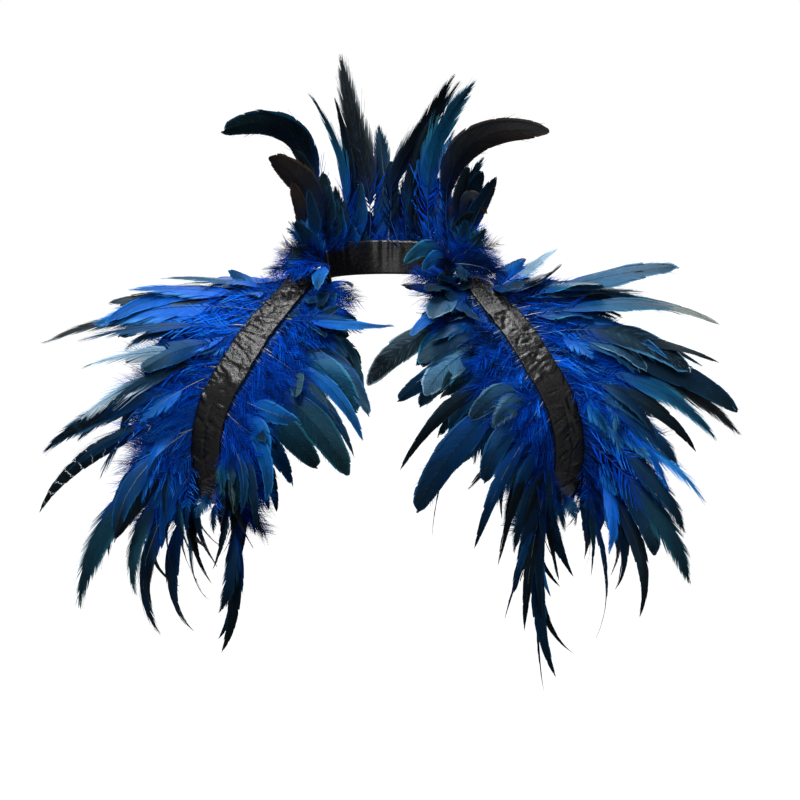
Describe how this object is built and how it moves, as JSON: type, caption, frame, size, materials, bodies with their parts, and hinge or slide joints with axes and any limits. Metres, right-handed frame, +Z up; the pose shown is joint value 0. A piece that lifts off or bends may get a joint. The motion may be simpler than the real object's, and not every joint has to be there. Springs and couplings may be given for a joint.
{
  "type": "feather shoulder cape",
  "caption": "Open-fronted shoulder cape of dyed feather fringes on black satin arm loops, with a stand-up plume collar that sits round the neck.",
  "frame": {"origin": "middle of the wearer's neck at the height where the arm bands pass over the shoulders", "axes": "+Z up, +X to the wearer's left, -Y the way the wearer faces"},
  "size_m": [0.679, 0.285, 0.625],
  "materials": {
    "black_satin": "crinkled satin sheen",
    "blue_feather": "soft, dyed royal blue",
    "dark_feather": "soft, blue-black"
  },
  "bodies": {
    "root": {"arm_band_left": "black_satin", "arm_band_right": "black_satin", "shoulder_fringe_left": "blue_feather", "shoulder_fringe_right": "blue_feather", "chest_fringe_left": "blue_feather", "chest_fringe_right": "blue_feather", "back_fringe_left": "blue_feather", "back_fringe_right": "blue_feather", "collar_band": "black_satin", "collar_plumes": "dark_feather"}
  },
  "joints": []
}
